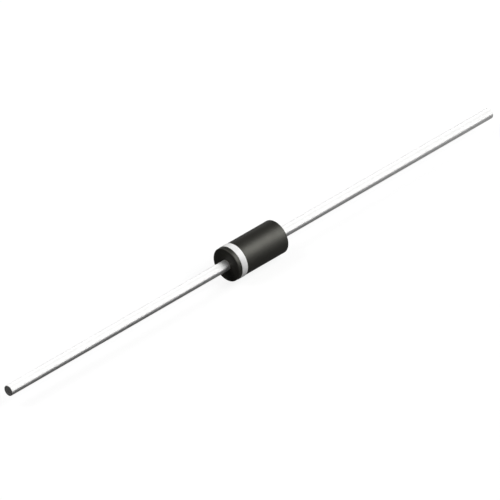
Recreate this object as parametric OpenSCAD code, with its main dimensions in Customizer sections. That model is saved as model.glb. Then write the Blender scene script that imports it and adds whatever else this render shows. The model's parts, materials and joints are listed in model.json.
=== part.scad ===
// Axial rectifier diode with a moulded cylindrical case and two straight wire leads.
// All sizes are in millimetres. The origin is the centre of the case and the leads run
// along X: the cathode, marked by the printed ring, points to -X and the anode to +X.
// The chip is soldered between two nail heads, a coating seals its edge, and the case is
// moulded round all of it, so neighbouring pieces share their faces with no clearance.

/* [Case] */
// Diameter of the moulded case
case_d = 2.7; // [2.2:0.05:3.6]
// Length of the moulded case, end face to end face
case_l = 5.2; // [4:0.05:7]
// Radius of the small rounding round both end faces
case_edge_r = 0.06; // [0.02:0.01:0.2]

/* [Cathode band] */
// Bare case between the cathode end face and the printed ring
band_gap = 0.36; // [0.2:0.01:1]
// Width of the printed ring
band_w = 0.56; // [0.3:0.01:1.5]
// Thickness of the printed ink
band_t = 0.02; // [0.01:0.005:0.05]

/* [Leads] */
// Diameter of the tinned copper wire
lead_d = 0.84; // [0.6:0.01:1.02]
// Length of each lead outside the case
lead_l = 22.55; // [10:0.05:30]
// Diameter of the nail head forged on the inner end of each lead
head_d = 1.5; // [1.25:0.01:1.9]
// Thickness of the nail head, whose rim is fully rounded
head_t = 0.26; // [0.16:0.01:0.32]
// Radius of the fillet between the wire and the back of its nail head
neck_r = 0.15; // [0.05:0.01:0.2]
// How much forging swells the wire's radius at that fillet, tapering out at the case's end face
shank_swell = 0.03; // [0.01:0.01:0.06]

/* [Chip] */
// Side of the square silicon chip
chip_side = 1; // [0.7:0.01:1.3]
// Thickness of the silicon chip
chip_t = 0.28; // [0.2:0.01:0.4]
// Thickness of each solder joint between the chip and a nail head
solder_t = 0.05; // [0.02:0.01:0.1]
// Bare rim of the chip round each solder joint, measured from the flat of its side
solder_inset = 0.03; // [0.01:0.01:0.1]
// How much wider the solder is on the nail head than on the chip, each side
solder_flare = 0.08; // [0.02:0.01:0.1]

/* [Junction coating] */
// Thickness of the coating outside whatever stands out furthest, a head or a chip corner
coating_cover = 0.1; // [0.05:0.01:0.2]
// How far the coating's round section swells past the face of each nail head
coating_swell = 0.1; // [0.05:0.01:0.14]

/* [Hidden] */
$fn = 96;

case_r = case_d / 2;
lead_r = lead_d / 2;
head_r = head_d / 2;
rim_r = head_t / 2;
head_flat_r = head_r - rim_r;                   // the flat of a nail head, inside its round rim
shank_r = lead_r + shank_swell;                 // the swollen wire, where it meets its head
neck_fillet_r = min(neck_r, head_flat_r - shank_r);
head_face = chip_t / 2 + solder_t;              // from the chip's middle to a nail head
lead_inside = case_l / 2 - head_face;           // from a nail head to the case's end face
solder_chip_r = chip_side / 2 - solder_inset;
solder_head_r = min(solder_chip_r + solder_flare, head_flat_r);
chip_corner_r = chip_side / sqrt(2);
coating_bead_r = head_face + coating_swell;     // the bead's own round section
coating_r = max(head_r, chip_corner_r) + coating_cover;
band_start = case_l / 2 - band_gap - band_w;    // from the middle to the ring's near edge

// Turns a revolved piece, drawn along +Z, to point to the anode end.
module to_anode() rotate([0, 90, 0]) children();

// Turns a revolved piece, drawn along +Z, to point to the cathode end.
module to_cathode() rotate([0, -90, 0]) children();

// A square corner piece with a quarter round cut out of it. Taken away from an outer
// corner it leaves a rounding, and added in an inner corner it makes a fillet.
module corner(r) difference() {
    square(r);
    circle(r);
}

// Half section of one lead, with its nail head at the bottom and its cut end at the top.
// Head, tapering shank and wire are one forged piece, and the taper locks it in the case.
module lead_section() translate([0, head_face]) {
    polygon([
        [0, 0], [shank_r, 0], [shank_r, head_t + neck_fillet_r],
        [lead_r, lead_inside], [lead_r, lead_inside + lead_l], [0, lead_inside + lead_l]
    ]);
    square([head_flat_r, head_t]);
    translate([head_flat_r, rim_r]) intersection() {
        circle(rim_r);
        translate([0, -rim_r]) square([rim_r, head_t]);
    }
    translate([shank_r + neck_fillet_r, head_t + neck_fillet_r]) rotate(180) corner(neck_fillet_r);
}

// Half section of the room that the coating fills, before the heads and chip are taken out.
module coating_section() intersection() {
    union() {
        translate([coating_r - coating_bead_r, 0]) circle(coating_bead_r);
        translate([0, -coating_bead_r])
            square([coating_r - coating_bead_r, 2 * coating_bead_r]);
    }
    translate([0, -coating_bead_r]) square([coating_r, 2 * coating_bead_r]);
}

// Half section of everything that the case is moulded round.
module insert_section() {
    lead_section();
    mirror([0, 1]) lead_section();
    coating_section();
}

// Half section of the case's outside, with both end edges rounded.
module case_outline() difference() {
    translate([0, -case_l / 2]) square([case_r, case_l]);
    for (end = [0, 1]) mirror([0, end])
        translate([case_r - case_edge_r, case_l / 2 - case_edge_r]) corner(case_edge_r);
}

// One solder joint, wider on the nail head than on the chip.
module solder_joint() translate([0, 0, chip_t / 2])
    cylinder(h = solder_t, r1 = solder_chip_r, r2 = solder_head_r);

module case() color([0.10, 0.10, 0.09]) to_anode() rotate_extrude() difference() {
    case_outline();
    insert_section();
}

module cathode_band() color([0.95, 0.95, 0.94]) to_cathode() rotate_extrude()
    translate([case_r, band_start]) square([band_t, band_w]);

module cathode_lead() color([0.86, 0.86, 0.85]) to_cathode() rotate_extrude() lead_section();

module anode_lead() color([0.86, 0.86, 0.85]) to_anode() rotate_extrude() lead_section();

module silicon_chip() color([0.35, 0.37, 0.42]) cube([chip_t, chip_side, chip_side], center = true);

module cathode_solder() color([0.70, 0.70, 0.68]) to_cathode() solder_joint();

module anode_solder() color([0.70, 0.70, 0.68]) to_anode() solder_joint();

module junction_coating() color([0.92, 0.90, 0.85]) difference() {
    to_anode() rotate_extrude() difference() {
        coating_section();
        lead_section();
        mirror([0, 1]) lead_section();
    }
    silicon_chip();
    cathode_solder();
    anode_solder();
}

case();
cathode_band();
cathode_lead();
anode_lead();
silicon_chip();
cathode_solder();
anode_solder();
junction_coating();
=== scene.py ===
"""Axial rectifier diode: smooth pieces, finishes and a small white studio round the CAD frame.

Everything is in metres. The part lies along X, with the ringed cathode end at -X, and +Z is up.
"""

import json
import logging
import math
from dataclasses import dataclass
from enum import Enum

import bmesh
import bpy
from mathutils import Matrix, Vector

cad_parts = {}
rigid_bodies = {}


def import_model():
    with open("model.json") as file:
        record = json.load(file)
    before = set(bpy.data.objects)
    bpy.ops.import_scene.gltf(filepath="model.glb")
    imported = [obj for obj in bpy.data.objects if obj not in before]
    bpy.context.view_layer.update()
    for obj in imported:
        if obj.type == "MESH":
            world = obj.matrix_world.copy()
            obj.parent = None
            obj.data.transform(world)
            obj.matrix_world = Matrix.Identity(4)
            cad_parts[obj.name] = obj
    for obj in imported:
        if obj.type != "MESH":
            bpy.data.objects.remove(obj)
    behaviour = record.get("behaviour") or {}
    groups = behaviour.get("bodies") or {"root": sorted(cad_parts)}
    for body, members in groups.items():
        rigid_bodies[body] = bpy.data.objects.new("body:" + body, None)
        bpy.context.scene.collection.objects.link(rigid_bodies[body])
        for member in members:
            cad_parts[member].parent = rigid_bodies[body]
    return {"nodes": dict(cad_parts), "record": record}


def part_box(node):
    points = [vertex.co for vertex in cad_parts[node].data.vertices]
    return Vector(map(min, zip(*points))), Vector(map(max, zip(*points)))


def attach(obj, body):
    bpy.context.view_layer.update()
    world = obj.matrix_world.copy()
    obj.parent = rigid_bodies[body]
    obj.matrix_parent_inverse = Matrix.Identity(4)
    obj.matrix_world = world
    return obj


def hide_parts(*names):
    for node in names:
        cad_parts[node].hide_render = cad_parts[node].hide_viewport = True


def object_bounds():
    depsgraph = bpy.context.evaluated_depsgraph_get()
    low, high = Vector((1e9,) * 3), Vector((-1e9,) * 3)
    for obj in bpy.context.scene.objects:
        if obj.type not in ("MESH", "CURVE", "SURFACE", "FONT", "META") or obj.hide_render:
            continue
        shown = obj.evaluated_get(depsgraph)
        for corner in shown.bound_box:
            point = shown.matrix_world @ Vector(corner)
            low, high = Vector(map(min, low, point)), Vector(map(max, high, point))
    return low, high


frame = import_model()
CAD_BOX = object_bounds()

MM = 0.001
BODY = "root"
Point = tuple[float, float]
log = logging.getLogger("diode")


class End(Enum):
    """The end of the case, by its direction along X."""

    CATHODE = -1
    ANODE = 1


class Slot(Enum):
    """The record's material slots that the new pieces take."""

    EPOXY = "moulded_epoxy"
    INK = "ring_ink"
    TIN = "tinned_wire"


# ---------------------------------------------------------------- turning


def deselect_all() -> None:
    """Leaves nothing selected, so that an operator acts only on what comes next."""
    for thing in bpy.context.scene.objects:
        thing.select_set(False)
    bpy.context.view_layer.objects.active = None


def make_active(piece: bpy.types.Object) -> None:
    """Selects one object alone.

    Args:
        piece: The object that the next operators act on.
    """
    deselect_all()
    piece.select_set(True)
    bpy.context.view_layer.objects.active = piece


def arc(centre: Point, radius: float, start: float, end: float, steps: int) -> list[Point]:
    """Points along a round corner of a half section.

    Args:
        centre: Centre of the rounding, along X and out from the axis.
        radius: Radius of the rounding.
        start: First angle in degrees, from +X towards the outside.
        end: Last angle in degrees.
        steps: Number of short straights that make up the rounding.

    Returns:
        The points from start to end, both included.
    """
    angles = [math.radians(start + (end - start) * i / steps) for i in range(steps + 1)]
    return [(centre[0] + radius * math.cos(a), centre[1] + radius * math.sin(a)) for a in angles]


@dataclass
class Turning:
    """A round piece turned on the X axis from its half section, as on a lathe."""

    name: str
    section: list[Point]
    closed: bool
    facets: int = 128
    start_size: float = 0.1 * MM
    weld: float = 0.00002 * MM
    smooth_up_to: float = 32.0

    def turn(self) -> bpy.types.Object:
        """Draws the section point by point, spins it and closes its seam and poles.

        Returns:
            The finished piece, at the origin, with its faces pointing outwards.
        """
        deselect_all()
        start = Vector((self.section[0][0], 0.0, self.section[0][1]))
        bpy.ops.mesh.primitive_plane_add(size=self.start_size, location=start)
        piece = bpy.context.active_object
        piece.name = piece.data.name = self.name
        bpy.ops.object.transform_apply(location=True, rotation=True, scale=True)
        bpy.ops.object.mode_set(mode="EDIT")
        bpy.ops.mesh.select_all(action="SELECT")
        bpy.ops.mesh.merge(type="CENTER")
        for (x0, r0), (x1, r1) in zip(self.section, self.section[1:]):
            bpy.ops.mesh.extrude_region_move(
                TRANSFORM_OT_translate={"value": (x1 - x0, 0.0, r1 - r0)}
            )
        if self.closed:
            self._join_ends()
        bpy.ops.mesh.select_all(action="SELECT")
        bpy.ops.mesh.spin(
            steps=self.facets, angle=2 * math.pi, center=(0.0, 0.0, 0.0), axis=(1.0, 0.0, 0.0)
        )
        bpy.ops.mesh.select_all(action="SELECT")
        bpy.ops.mesh.remove_doubles(threshold=self.weld)
        bpy.ops.mesh.select_all(action="SELECT")
        bpy.ops.mesh.normals_make_consistent(inside=False)
        bpy.ops.object.mode_set(mode="OBJECT")
        bpy.ops.object.shade_smooth_by_angle(angle=math.radians(self.smooth_up_to))
        return piece

    def _join_ends(self) -> None:
        """Joins the last point of the section to the first."""
        mesh = bmesh.from_edit_mesh(bpy.context.edit_object.data)
        bpy.ops.mesh.select_all(action="DESELECT")
        for vertex in mesh.verts:
            vertex.select = len(vertex.link_edges) == 1
        mesh.select_flush_mode()
        bpy.ops.mesh.edge_face_add()


# ---------------------------------------------------------------- finishes


class Recipe:
    """A node material being put together, from Object coordinates to its output."""

    def __init__(self, name: str) -> None:
        """Starts an empty material.

        Args:
            name: The material's name.
        """
        self.material = bpy.data.materials.new(name)
        self.material.use_nodes = True
        self.tree = self.material.node_tree
        self.tree.nodes.clear()
        self.output = self.add("ShaderNodeOutputMaterial")
        self.place = self.add("ShaderNodeTexCoord").outputs["Object"]

    def add(self, kind: str, **sockets: object) -> bpy.types.Node:
        """Adds a node and fills its sockets.

        Args:
            kind: The node's type.
            sockets: Values or sockets to link, by socket name with _ for a space.

        Returns:
            The new node.
        """
        node = self.tree.nodes.new(kind)
        for name, value in sockets.items():
            self.feed(node.inputs[name.replace("_", " ")], value)
        return node

    def feed(self, socket: bpy.types.NodeSocket, value: object) -> None:
        """Links a socket, or sets its value.

        Args:
            socket: The socket to fill.
            value: Another node's output, or a plain value.
        """
        if isinstance(value, bpy.types.NodeSocket):
            self.tree.links.new(value, socket)
        else:
            socket.default_value = value

    def stretched(self, scale: tuple[float, float, float]) -> bpy.types.NodeSocket:
        """Object coordinates stretched along the axes.

        Args:
            scale: Factor along X, Y and Z.

        Returns:
            The stretched coordinates.
        """
        node = self.add("ShaderNodeMapping", Vector=self.place, Scale=scale)
        return node.outputs["Vector"]

    def noise(
        self,
        size: float,
        detail: float = 2.0,
        place: bpy.types.NodeSocket | None = None,
        roughness: float = 0.5,
    ) -> bpy.types.NodeSocket:
        """Cloudy noise from 0 to 1.

        Args:
            size: Width of one cloud, in metres.
            detail: Number of finer layers.
            place: Coordinates, or None for the object's own.
            roughness: Strength of the finer layers.

        Returns:
            The noise value.
        """
        node = self.add(
            "ShaderNodeTexNoise", Vector=place or self.place, Scale=1.0 / size, Detail=detail
        )
        node.inputs["Roughness"].default_value = roughness
        return node.outputs["Fac"]

    def cells(self, size: float, place: bpy.types.NodeSocket | None = None) -> bpy.types.Node:
        """Voronoi cells.

        Args:
            size: Width of one cell, in metres.
            place: Coordinates, or None for the object's own.

        Returns:
            The Voronoi node.
        """
        return self.add("ShaderNodeTexVoronoi", Vector=place or self.place, Scale=1.0 / size)

    def spread(
        self, value: bpy.types.NodeSocket, low: float, high: float, start: float = 0.3, end: float = 0.7
    ) -> bpy.types.NodeSocket:
        """Maps a value from one span to another and clamps it.

        Args:
            value: The value to map.
            low: Result at start.
            high: Result at end.
            start: Where the span of the value starts.
            end: Where it ends.

        Returns:
            The mapped value.
        """
        node = self.add("ShaderNodeMapRange", Value=value)
        for name, number in (("From Min", start), ("From Max", end), ("To Min", low), ("To Max", high)):
            node.inputs[name].default_value = number
        return node.outputs["Result"]

    def maths(self, kind: str, first: object, second: object = 0.0) -> bpy.types.NodeSocket:
        """One step of arithmetic.

        Args:
            kind: The Math node's operation.
            first: First value or socket.
            second: Second value or socket.

        Returns:
            The result.
        """
        node = self.add("ShaderNodeMath")
        node.operation = kind
        self.feed(node.inputs[0], first)
        self.feed(node.inputs[1], second)
        return node.outputs["Value"]

    def tones(
        self, value: object, first: tuple[float, ...], second: tuple[float, ...]
    ) -> bpy.types.NodeSocket:
        """A colour between two.

        Args:
            value: 0 for the first colour and 1 for the second.
            first: One colour, red, green and blue.
            second: The other colour.

        Returns:
            The mixed colour.
        """
        node = self.add("ShaderNodeMix")
        node.data_type = "RGBA"
        self.feed(node.inputs[0], value)
        node.inputs[6].default_value = (*first, 1.0)
        node.inputs[7].default_value = (*second, 1.0)
        return node.outputs[2]

    def relief(
        self, height: bpy.types.NodeSocket, depth: float, under: object = None
    ) -> bpy.types.NodeSocket:
        """A bump from a height.

        Args:
            height: Height from 0 to 1.
            depth: Real depth of the relief, in metres.
            under: A coarser bump that this one lies on.

        Returns:
            The bumped normal.
        """
        node = self.add("ShaderNodeBump", Height=height, Distance=depth, Strength=1.0)
        if under is not None:
            self.feed(node.inputs["Normal"], under)
        return node.outputs["Normal"]

    def surface(self, **sockets: object) -> bpy.types.Material:
        """Ends the recipe with one Principled surface.

        Args:
            sockets: Its values and links, by socket name with _ for a space.

        Returns:
            The finished material.
        """
        shader = self.add("ShaderNodeBsdfPrincipled", **sockets)
        self.tree.links.new(shader.outputs[0], self.output.inputs["Surface"])
        return self.material


@dataclass(frozen=True)
class MouldedEpoxy:
    """Satin black moulding compound: fused silica filler in warm black resin."""

    name: str = "moulded_epoxy"
    resin: tuple[float, float, float] = (0.0105, 0.0102, 0.0086)
    filler: tuple[float, float, float] = (0.019, 0.0186, 0.016)
    gloss_tint: tuple[float, float, float, float] = (1.0, 0.99, 0.89, 1.0)
    gloss: float = 0.5
    ior: float = 1.56
    roughness: tuple[float, float] = (0.48, 0.53)
    cloud: float = 0.9 * MM
    grain: float = 0.10 * MM
    grain_depth: float = 0.0011 * MM
    fleck: float = 0.045 * MM
    fleck_depth: float = 0.0005 * MM

    def make(self) -> bpy.types.Material:
        """Builds the material.

        Returns:
            The finished material.
        """
        recipe = Recipe(self.name)
        clouds = recipe.noise(self.cloud, 3.0)
        grain = recipe.noise(self.grain, 2.0)
        flecks = recipe.cells(self.fleck).outputs["Distance"]
        shade = recipe.spread(flecks, 1.0, 0.0, 0.05, 0.6)
        tone = recipe.maths("MULTIPLY", shade, recipe.spread(clouds, 0.55, 1.0))
        coarse = recipe.relief(grain, self.grain_depth)
        return recipe.surface(
            Base_Color=recipe.tones(tone, self.resin, self.filler),
            Roughness=recipe.spread(clouds, *self.roughness),
            Specular_IOR_Level=self.gloss,
            Specular_Tint=self.gloss_tint,
            IOR=self.ior,
            Normal=recipe.relief(flecks, self.fleck_depth, coarse),
        )


@dataclass(frozen=True)
class MarkingInk:
    """Opaque white epoxy ink, rolled on and cured, a little thinner in places."""

    thick: tuple[float, float, float] = (0.86, 0.86, 0.855)
    thin: tuple[float, float, float] = (0.80, 0.80, 0.79)
    ior: float = 1.5
    roughness: tuple[float, float] = (0.42, 0.52)
    patch: float = 0.35 * MM
    tooth: float = 0.05 * MM
    tooth_depth: float = 0.0006 * MM

    def make(self) -> bpy.types.Material:
        """Builds the material.

        Returns:
            The finished material.
        """
        recipe = Recipe("ring_ink")
        patches = recipe.noise(self.patch, 3.0)
        tooth = recipe.noise(self.tooth, 2.0)
        return recipe.surface(
            Base_Color=recipe.tones(recipe.spread(patches, 0.0, 1.0), self.thick, self.thin),
            Roughness=recipe.spread(tooth, *self.roughness),
            IOR=self.ior,
            Normal=recipe.relief(tooth, self.tooth_depth),
        )


@dataclass(frozen=True)
class TinPlate:
    """Bright tin over drawn copper wire: fine lines along it, and a cut end whose dark colour is partly
    painted shade.
    """

    cut_plane: float
    bright: tuple[float, float, float] = (0.95, 0.95, 0.945)
    dull: tuple[float, float, float] = (0.90, 0.90, 0.89)
    # Cut end colour: duller cut metal, darkened further as painted shade.
    cut_end_shaded: tuple[float, float, float] = (0.34, 0.335, 0.33)
    roughness: tuple[float, float] = (0.34, 0.42)
    cut_roughness: float = 0.46
    line: float = 0.03 * MM
    line_length: float = 60.0
    line_depth: float = 0.0004 * MM
    patch: float = 0.5 * MM
    shear_line: float = 0.03 * MM
    shear_stretch: float = 0.12
    shear_depth: float = 0.003 * MM

    def make(self) -> bpy.types.Material:
        """Builds the material.

        Returns:
            The finished material.
        """
        recipe = Recipe("tinned_wire")
        drawn = recipe.noise(self.line, 2.0, recipe.stretched((1.0 / self.line_length, 1.0, 1.0)))
        patches = recipe.noise(self.patch, 3.0)
        along = recipe.add("ShaderNodeSeparateXYZ", Vector=recipe.place).outputs["X"]
        cut = recipe.maths("GREATER_THAN", recipe.maths("ABSOLUTE", along), self.cut_plane)
        plated = recipe.tones(recipe.spread(patches, 0.0, 1.0), self.bright, self.dull)
        # The cut end takes its darker colour, which is partly painted shade.
        colour = recipe.tones(cut, self.bright, self.cut_end_shaded)
        recipe.feed(colour.node.inputs[6], plated)
        shine = recipe.add("ShaderNodeMix", Factor=cut, A=recipe.spread(drawn, *self.roughness))
        shine.inputs["B"].default_value = self.cut_roughness
        shear = recipe.noise(self.shear_line, 2.0, recipe.stretched((1.0, self.shear_stretch, 1.0)))
        shear_height = recipe.maths("MULTIPLY", cut, shear)
        lines = recipe.relief(drawn, self.line_depth)
        return recipe.surface(
            Base_Color=colour,
            Metallic=1.0,
            Roughness=shine.outputs[0],
            Normal=recipe.relief(shear_height, self.shear_depth, lines),
        )


@dataclass(frozen=True)
class DicedSilicon:
    """The chip: lapped faces and sawn edges of dark grey silicon."""

    light: tuple[float, float, float] = (0.34, 0.36, 0.41)
    dark: tuple[float, float, float] = (0.24, 0.26, 0.31)
    metallic: float = 0.6
    roughness: tuple[float, float] = (0.16, 0.34)
    scratch: float = 0.02 * MM
    scratch_stretch: float = 0.08
    scratch_depth: float = 0.0004 * MM

    def make(self) -> bpy.types.Material:
        """Builds the material.

        Returns:
            The finished material.
        """
        recipe = Recipe("silicon")
        sawn = recipe.noise(self.scratch, 3.0, recipe.stretched((1.0, self.scratch_stretch, 1.0)))
        return recipe.surface(
            Base_Color=recipe.tones(recipe.spread(sawn, 0.0, 1.0), self.light, self.dark),
            Metallic=self.metallic,
            Roughness=recipe.spread(sawn, *self.roughness),
            Normal=recipe.relief(sawn, self.scratch_depth),
        )


@dataclass(frozen=True)
class SoftSolder:
    """Reflowed solder: grey grains, frosted between."""

    grain_colour: tuple[float, float, float] = (0.70, 0.70, 0.69)
    seam_colour: tuple[float, float, float] = (0.52, 0.52, 0.51)
    roughness: tuple[float, float] = (0.28, 0.5)
    grain: float = 0.06 * MM
    grain_depth: float = 0.0012 * MM

    def make(self) -> bpy.types.Material:
        """Builds the material.

        Returns:
            The finished material.
        """
        recipe = Recipe("solder")
        grains = recipe.cells(self.grain).outputs["Distance"]
        seam = recipe.spread(grains, 0.0, 1.0, 0.2, 0.7)
        return recipe.surface(
            Base_Color=recipe.tones(seam, self.grain_colour, self.seam_colour),
            Metallic=1.0,
            Roughness=recipe.spread(grains, *self.roughness),
            Normal=recipe.relief(grains, self.grain_depth),
        )


@dataclass(frozen=True)
class SiliconeRubber:
    """Cured junction coating: milky rubber with a soft, slightly dusty skin."""

    milky: tuple[float, float, float] = (0.88, 0.86, 0.81)
    cloudy: tuple[float, float, float] = (0.80, 0.775, 0.71)
    roughness: tuple[float, float] = (0.36, 0.5)
    glow: float = 0.15
    glow_depth: float = 0.1 * MM
    cloud: float = 0.25 * MM
    skin: float = 0.05 * MM
    skin_depth: float = 0.0008 * MM

    def make(self) -> bpy.types.Material:
        """Builds the material.

        Returns:
            The finished material.
        """
        recipe = Recipe("silicone")
        clouds = recipe.noise(self.cloud, 3.0)
        skin = recipe.noise(self.skin, 2.0)
        return recipe.surface(
            Base_Color=recipe.tones(recipe.spread(clouds, 0.0, 1.0), self.milky, self.cloudy),
            Roughness=recipe.spread(skin, *self.roughness),
            Subsurface_Weight=self.glow,
            Subsurface_Scale=self.glow_depth,
            Normal=recipe.relief(skin, self.skin_depth),
        )


# ---------------------------------------------------------------- the part


@dataclass
class NailHead:
    """The forged inner end of a wire: flat face, round rim, and a neck back to the wire."""

    face: float
    radius: float
    thickness: float = 0.26 * MM
    neck: float = 0.15 * MM
    shank_swell: float = 0.03 * MM
    steps: int = 10

    @property
    def rim(self) -> float:
        """Radius of the fully round rim."""
        return self.thickness / 2

    @property
    def flat(self) -> float:
        """Radius of the flat face inside the rim."""
        return self.radius - self.rim

    @property
    def back(self) -> float:
        """Where the back of the head is, along X."""
        return self.face + self.thickness

    def rim_arc(self, start: float, end: float) -> list[Point]:
        """Part of the round rim.

        Args:
            start: First angle in degrees.
            end: Last angle in degrees.

        Returns:
            Its points.
        """
        return arc((self.face + self.rim, self.flat), self.rim, start, end, 2 * self.steps)

    def neck_arc(self, shank: float) -> list[Point]:
        """The fillet from the back of the head to the wire.

        Args:
            shank: Radius of the swollen wire at the fillet.

        Returns:
            Its points, from the head to the wire.
        """
        return arc((self.back + self.neck, shank + self.neck), self.neck, 180, 270, self.steps)


@dataclass
class Wires:
    """The two tinned wires. One is modelled and the other is a copy, turned end for end."""

    radius: float
    root: float
    length: float
    head: NailHead
    cut_edge: float = 0.02 * MM
    dish: float = 0.012 * MM
    dish_radius: float = 0.62
    sheared_depth: float = 0.018 * MM
    edge_steps: int = 4

    @classmethod
    def from_frame(cls) -> "Wires":
        """Reads the wire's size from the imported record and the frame.

        Returns:
            The wires, at their real size.
        """
        pin = next(m for m in frame["record"]["mounts"] if m["name"] == "anode_lead_pin")
        low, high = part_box("anode_lead")
        length = pin["dims"]["length_mm"] * MM
        return cls(
            radius=pin["dims"]["r_mm"] * MM,
            root=high.x - length,
            length=length,
            head=NailHead(face=low.x, radius=high.y),
        )

    @property
    def tip(self) -> float:
        """Where the cut end is, along X."""
        return self.root + self.length

    @property
    def shank(self) -> float:
        """Radius of the swollen wire behind the head."""
        return self.radius + self.head.shank_swell

    def section(self) -> list[Point]:
        """Half section of the anode wire, from the head's face to the cut end.

        Returns:
            Its points, both ends on the axis.
        """
        edge = (self.tip - self.cut_edge, self.radius - self.cut_edge)
        dish = self.radius * self.dish_radius
        return [
            (self.head.face, 0.0),
            *self.head.rim_arc(180, 0),
            *self.head.neck_arc(self.shank),
            (self.root, self.radius),
            *arc(edge, self.cut_edge, 90, 0, self.edge_steps),
            (self.tip - self.dish, dish),
            (self.tip - self.dish, 0.0),
        ]

    def build(self) -> dict[End, bpy.types.Object]:
        """Turns the anode wire and copies it for the cathode.

        Returns:
            The two wires by end.
        """
        anode = Turning("anode_wire", self.section(), closed=False).turn()
        make_active(anode)
        bpy.ops.object.duplicate(linked=False)
        cathode = bpy.context.active_object
        cathode.name = cathode.data.name = "cathode_wire"
        cathode.rotation_euler.z = math.pi
        bpy.ops.object.transform_apply(location=True, rotation=True, scale=True)
        return {End.ANODE: anode, End.CATHODE: cathode}

    def dress(self, wires: dict[End, bpy.types.Object]) -> None:
        """Gives both wires their plating and puts them in place of the CAD ones.

        Args:
            wires: The two wires by end.
        """
        plate = TinPlate(cut_plane=self.tip - self.sheared_depth).make()
        for end, wire in wires.items():
            wire.data.materials.append(plate)
            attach(wire, BODY)
            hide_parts(f"{end.name.lower()}_lead")
            log.info("%s: %d faces", wire.name, len(wire.data.polygons))


@dataclass
class Case:
    """The moulded case: a shell round the wires' heads and the coated chip."""

    half_length: float
    radius: float
    wires: Wires
    bead_radius: float
    bead_out: float
    edge_round: float = 0.06 * MM
    mouth: float = 0.025 * MM
    steps: int = 12
    edge_steps: int = 8
    mouth_steps: int = 3
    straight_along: float = 0.999
    side_finish: MouldedEpoxy = MouldedEpoxy()
    end_finish: MouldedEpoxy = MouldedEpoxy("moulded_epoxy_end", gloss=0.16, roughness=(0.56, 0.62))

    @classmethod
    def from_frame(cls, wires: Wires) -> "Case":
        """Reads the case's size from the frame.

        Args:
            wires: The wires that it is moulded round.

        Returns:
            The case, at its real size.
        """
        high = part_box("case")[1]
        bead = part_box("junction_coating")[1]
        return cls(high.x, high.z, wires, bead_radius=bead.x, bead_out=bead.z)

    def _bead_meets_rim(self) -> tuple[float, float]:
        """Where the coating bead's outline crosses the nail head's round rim.

        Returns:
            The angle of that point on the bead and on the rim, in degrees.
        """
        head = self.wires.head
        bead = Vector((0.0, self.bead_out - self.bead_radius))
        rim = Vector((head.face + head.rim, head.flat))
        gap = (rim - bead).length
        along = (gap**2 + self.bead_radius**2 - head.rim**2) / (2 * gap)
        across = math.sqrt(self.bead_radius**2 - along**2)
        to_rim = (rim - bead) / gap
        point = bead + to_rim * along + Vector((-to_rim.y, to_rim.x)) * across
        return (
            math.degrees(math.atan2(point.y - bead.y, point.x - bead.x)),
            math.degrees(math.atan2(point.y - rim.y, point.x - rim.x)),
        )

    def section(self) -> list[Point]:
        """Half section of the shell, as a closed loop.

        Returns:
            Its points, round the outside and back through the cavity.
        """
        head = self.wires.head
        on_bead, on_rim = self._bead_meets_rim()
        corner = (self.half_length - self.edge_round, self.radius - self.edge_round)
        mouth = (self.half_length - self.mouth, self.wires.radius + self.mouth)
        anode_half = [
            *arc(corner, self.edge_round, 90, 0, self.edge_steps),
            *arc(mouth, self.mouth, 0, -90, self.mouth_steps),
            *reversed(head.neck_arc(self.wires.shank)),
            *head.rim_arc(0, on_rim),
            *arc((0.0, self.bead_out - self.bead_radius), self.bead_radius, on_bead, 90, self.steps)[1:],
        ]
        return anode_half + [(-x, out) for x, out in reversed(anode_half[:-1])]

    def build(self) -> bpy.types.Object:
        """Turns the shell.

        Returns:
            The case.
        """
        return Turning("epoxy_case", self.section(), closed=True).turn()

    def dress(self, case: bpy.types.Object) -> None:
        """Gives the case its moulded finish and puts it in place of the CAD one.

        The flat end faces come from the mould's duller end plates.

        Args:
            case: The turned shell.
        """
        for finish in (self.side_finish, self.end_finish):
            case.data.materials.append(finish.make())
        for face in case.data.polygons:
            faces_end = abs(face.normal.x) > self.straight_along
            if faces_end and abs(face.center.x) > self.half_length - self.mouth:
                face.material_index = 1
        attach(case, BODY)
        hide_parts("case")
        log.info("%s: %d faces", case.name, len(case.data.polygons))


@dataclass
class PolarityRing:
    """The printed ring: a thin band of ink with soft edges."""

    start: float
    end: float
    inner: float
    outer: float
    edge_round: float = 0.014 * MM
    edge_steps: int = 4

    @classmethod
    def from_frame(cls) -> "PolarityRing":
        """Reads the ring's size from the frame.

        Returns:
            The ring, at its real size.
        """
        low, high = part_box("cathode_band")
        return cls(low.x, high.x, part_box("case")[1].z, high.z)

    def section(self) -> list[Point]:
        """Half section of the band, as a closed loop.

        Returns:
            Its points.
        """
        soft = self.edge_round
        top = self.outer - soft
        return [
            (self.start, self.inner),
            *arc((self.start + soft, top), soft, 180, 90, self.edge_steps),
            *arc((self.end - soft, top), soft, 90, 0, self.edge_steps),
            (self.end, self.inner),
        ]

    def build(self) -> bpy.types.Object:
        """Turns the ring.

        Returns:
            The ring.
        """
        return Turning("ink_ring", self.section(), closed=True).turn()

    def dress(self, ring: bpy.types.Object) -> None:
        """Gives the ring its ink and puts it in place of the CAD one.

        Args:
            ring: The turned ring.
        """
        ring.data.materials.append(MarkingInk().make())
        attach(ring, BODY)
        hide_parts("cathode_band")
        log.info("%s: %d faces", ring.name, len(ring.data.polygons))


class ChipStack:
    """The chip, its solder joints and its coating, whose CAD shapes stay as they are."""

    def dress(self) -> list[bpy.types.Object]:
        """Gives each hidden node its own finish.

        Returns:
            The dressed nodes.
        """
        solder = SoftSolder().make()
        finishes = {
            "silicon_chip": DicedSilicon().make(),
            "cathode_solder": solder,
            "anode_solder": solder,
            "junction_coating": SiliconeRubber().make(),
        }
        for node, finish in finishes.items():
            for slot in frame["nodes"][node].material_slots:
                slot.material = finish
            log.info("%s: CAD mesh kept, %s", node, finish.name)
        return [frame["nodes"][node] for node in finishes]


# ---------------------------------------------------------------- the studio


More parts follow.
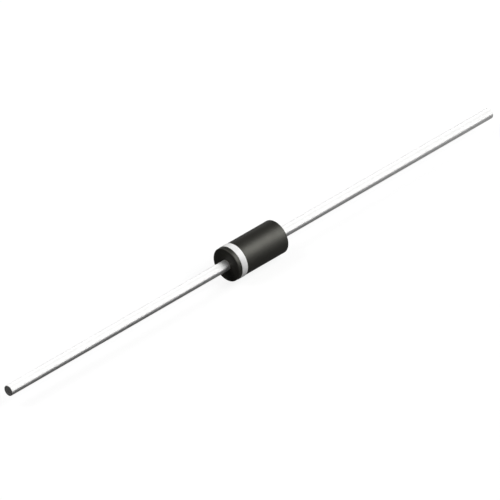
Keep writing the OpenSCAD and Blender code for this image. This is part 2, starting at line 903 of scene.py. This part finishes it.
def direction(azimuth: float, elevation: float) -> Vector:
    """A direction from the origin.

    Args:
        azimuth: Degrees from -Y towards +X.
        elevation: Degrees above the floor.

    Returns:
        The unit vector.
    """
    a, e = math.radians(azimuth), math.radians(elevation)
    return Vector((math.sin(a) * math.cos(e), -math.cos(a) * math.cos(e), math.sin(e)))


@dataclass(frozen=True)
class WhiteSweep:
    """A round pale floor that curves up into a low white backdrop."""

    floor_z: float
    radius: float = 0.30
    height: float = 0.036
    curve: float = 0.03
    bend_steps: int = 8
    facets: int = 96
    skirt: float = 0.06
    tone: tuple[float, float, float] = (0.16, 0.16, 0.16)
    glow_near: float = 0.86
    near: float = 0.05
    far: float = 0.16

    def skirt_section(self) -> list[Point]:
        """Half section of the low wall under the sweep's edge, which backs level views.

        Returns:
            Its points, height first and radius second.
        """
        return [(self.floor_z - self.skirt, self.radius), (self.floor_z, self.radius)]

    def section(self) -> list[Point]:
        """Half section of the sweep, from its centre out and up.

        Returns:
            Its points, height first and radius second.
        """
        angles = [math.radians(90 * i / self.bend_steps) for i in range(self.bend_steps + 1)]
        bend = [
            (self.floor_z + self.curve * (1 - math.cos(a)), self.radius - self.curve * (1 - math.sin(a)))
            for a in angles
        ]
        return [(self.floor_z, 0.0), *bend, (self.floor_z + self.height, self.radius)]

    def build(self) -> list[bpy.types.Object]:
        """Builds the sweep and its skirt in one paint.

        Returns:
            Both pieces.
        """
        paint = self.finish()
        return [
            self.stand("white_sweep", self.section(), paint),
            self.stand("white_skirt", self.skirt_section(), paint),
        ]

    def stand(self, name: str, section: list[Point], paint: bpy.types.Material) -> bpy.types.Object:
        """Turns one piece and stands it up, its inner face towards the part.

        Args:
            name: The piece's name.
            section: Its half section.
            paint: Its finish.

        Returns:
            The piece.
        """
        sweep = Turning(name, section, closed=False, facets=self.facets).turn()
        make_active(sweep)
        sweep.rotation_euler.y = -math.pi / 2
        bpy.ops.object.transform_apply(location=True, rotation=True, scale=True)
        bpy.ops.object.mode_set(mode="EDIT")
        bpy.ops.mesh.select_all(action="SELECT")
        bpy.ops.mesh.normals_make_consistent(inside=True)
        bpy.ops.object.mode_set(mode="OBJECT")
        sweep.data.materials.append(paint)
        return sweep

    def finish(self) -> bpy.types.Material:
        """Pale paint that shows white, keeps shadows, and is clear from behind.

        Returns:
            The finished material.
        """
        recipe = Recipe("sweep_paint")
        rays = recipe.add("ShaderNodeLightPath").outputs
        seen = recipe.maths("MAXIMUM", rays["Is Camera Ray"], rays["Is Glossy Ray"])
        seen = recipe.maths("MAXIMUM", seen, rays["Is Transmission Ray"])
        away = recipe.add("ShaderNodeVectorMath", Vector=recipe.place)
        away.operation = "LENGTH"
        glow = recipe.spread(away.outputs["Value"], self.glow_near, 1.0, self.near, self.far)
        paint = recipe.add("ShaderNodeBsdfDiffuse", Color=(*self.tone, 1.0))
        light = recipe.add("ShaderNodeEmission", Strength=recipe.maths("MULTIPLY", seen, glow))
        both = recipe.add("ShaderNodeAddShader")
        recipe.feed(both.inputs[0], paint.outputs[0])
        recipe.feed(both.inputs[1], light.outputs[0])
        clear = recipe.add("ShaderNodeBsdfTransparent")
        side = recipe.add("ShaderNodeMixShader")
        recipe.feed(side.inputs[0], recipe.add("ShaderNodeNewGeometry").outputs["Backfacing"])
        recipe.feed(side.inputs[1], both.outputs[0])
        recipe.feed(side.inputs[2], clear.outputs[0])
        recipe.feed(recipe.output.inputs["Surface"], side.outputs[0])
        return recipe.material


@dataclass(frozen=True)
class DarkCard:
    """A dark card under the part that only shows in its gloss: a grey glowing sheet that paints dark
    reflections, standing in for shade, along the undersides of the wires and the case.
    """

    z: float
    half_size: float = 0.060
    # Painted shade: the card's glow in reflections, darker at the cathode end than at the anode end.
    tone: tuple[float, float] = (0.085, 0.23)
    fade: tuple[float, float] = (-0.005, 0.025)

    def build(self) -> bpy.types.Object:
        """Lays the card.

        Returns:
            The card.
        """
        deselect_all()
        bpy.ops.mesh.primitive_plane_add(size=2.0, location=(0.0, 0.0, self.z))
        card = bpy.context.active_object
        card.name = card.data.name = "dark_card"
        card.scale = (self.half_size, self.half_size, 1.0)
        bpy.ops.object.transform_apply(location=True, rotation=True, scale=True)
        card.visible_camera = False
        card.visible_diffuse = False
        card.visible_shadow = False
        card.visible_transmission = False
        recipe = Recipe("painted_shade_card")
        along = recipe.add("ShaderNodeSeparateXYZ", Vector=recipe.place).outputs["X"]
        # Painted shade in reflections: grey glow that rises from -X towards +X.
        grey = recipe.add("ShaderNodeEmission", Strength=recipe.spread(along, *self.tone, *self.fade))
        recipe.feed(recipe.output.inputs["Surface"], grey.outputs[0])
        card.data.materials.append(recipe.material)
        return card


@dataclass(frozen=True)
class Softbox:
    """A flat soft lamp aimed at the middle of the part, which lights only chosen pieces."""

    name: str
    azimuth: float
    elevation: float
    distance: float
    size: tuple[float, float]
    brightness: float

    def hang(self, only: list[bpy.types.Object]) -> bpy.types.Object:
        """Hangs the lamp.

        Args:
            only: The pieces that it lights.

        Returns:
            The lamp.
        """
        lamp = bpy.data.lights.new(self.name, "AREA")
        lamp.shape = "RECTANGLE"
        lamp.size, lamp.size_y = self.size
        lamp.energy = self.brightness * math.pi * self.size[0] * self.size[1]
        box = bpy.data.objects.new(self.name, lamp)
        bpy.context.scene.collection.objects.link(box)
        away = direction(self.azimuth, self.elevation)
        box.location = away * self.distance
        box.rotation_euler = away.to_track_quat("Z", "Y").to_euler()
        box.visible_camera = False
        lit = bpy.data.collections.new(self.name + "_lights")
        for piece in only:
            lit.objects.link(piece)
        box.light_linking.receiver_collection = lit
        return box


@dataclass(frozen=True)
class Studio:
    """Floor, lamps and room light."""

    floor_z: float
    card_lift: float = 0.004 * MM
    room: float = 0.06
    part_lamps: tuple[Softbox, ...] = (
        Softbox("key_softbox", 50.0, 41.0, 0.22, (0.17, 0.17), 5.9),
        Softbox("back_softbox", 230.0, 45.0, 0.22, (0.12, 0.12), 6.5),
    )
    wire_lamps: tuple[Softbox, ...] = (
        Softbox("wire_top", 0.0, 90.0, 0.12, (0.60, 0.24), 0.97),
        Softbox("wire_front", 0.0, 25.0, 0.12, (0.60, 0.12), 0.97),
        Softbox("wire_back", 180.0, 25.0, 0.12, (0.60, 0.12), 0.97),
    )

    def build(self, wires: list[bpy.types.Object], others: list[bpy.types.Object]) -> None:
        """Sets the studio up.

        Args:
            wires: The tinned wires, which have even, bright lamps of their own.
            others: Everything else of the part.
        """
        sweep = WhiteSweep(self.floor_z).build()
        # The dark card paints shade into the part's reflections.
        DarkCard(self.floor_z + self.card_lift).build()
        for lamp in self.part_lamps:
            lamp.hang([*others, *sweep])
        for lamp in self.wire_lamps:
            lamp.hang(wires)
        world = bpy.data.worlds.new("room")
        world.use_nodes = True
        world.node_tree.nodes["Background"].inputs["Color"].default_value = (1.0, 1.0, 1.0, 1.0)
        world.node_tree.nodes["Background"].inputs["Strength"].default_value = self.room
        bpy.context.scene.world = world
        bpy.context.scene.view_settings.view_transform = "Standard"
        log.info("studio: floor at z = %.5f m", self.floor_z)


@dataclass(frozen=True)
class IsometricCamera:
    """A long lens far away, which shows the part almost without perspective."""

    azimuth: float = -45.0
    elevation: float = math.degrees(math.atan(math.sqrt(0.5)))
    view_width: float = 36.98 * MM
    lens: float = 1500.0
    aim: tuple[float, float, float] = (-0.03 * MM, 0.075 * MM, 0.045 * MM)

    def place(self) -> bpy.types.Object:
        """Puts the camera up and makes it the scene's own.

        Returns:
            The camera.
        """
        data = bpy.data.cameras.new("camera")
        data.lens = self.lens
        away = direction(self.azimuth, self.elevation)
        camera = bpy.data.objects.new("camera", data)
        bpy.context.scene.collection.objects.link(camera)
        camera.location = Vector(self.aim) + away * (self.view_width * self.lens / data.sensor_width)
        camera.rotation_euler = away.to_track_quat("Z", "Y").to_euler()
        bpy.context.scene.camera = camera
        return camera


def main() -> None:
    """Builds the part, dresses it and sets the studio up."""
    logging.basicConfig(level=logging.INFO, format="%(name)s: %(message)s")
    wires = Wires.from_frame()
    turned = wires.build()
    wires.dress(turned)
    case = Case.from_frame(wires)
    shell = case.build()
    case.dress(shell)
    ring = PolarityRing.from_frame()
    band = ring.build()
    ring.dress(band)
    hidden = ChipStack().dress()
    IsometricCamera().place()
    Studio(floor_z=CAD_BOX[0].z).build(list(turned.values()), [shell, band, *hidden])


if __name__ == "__main__":
    main()
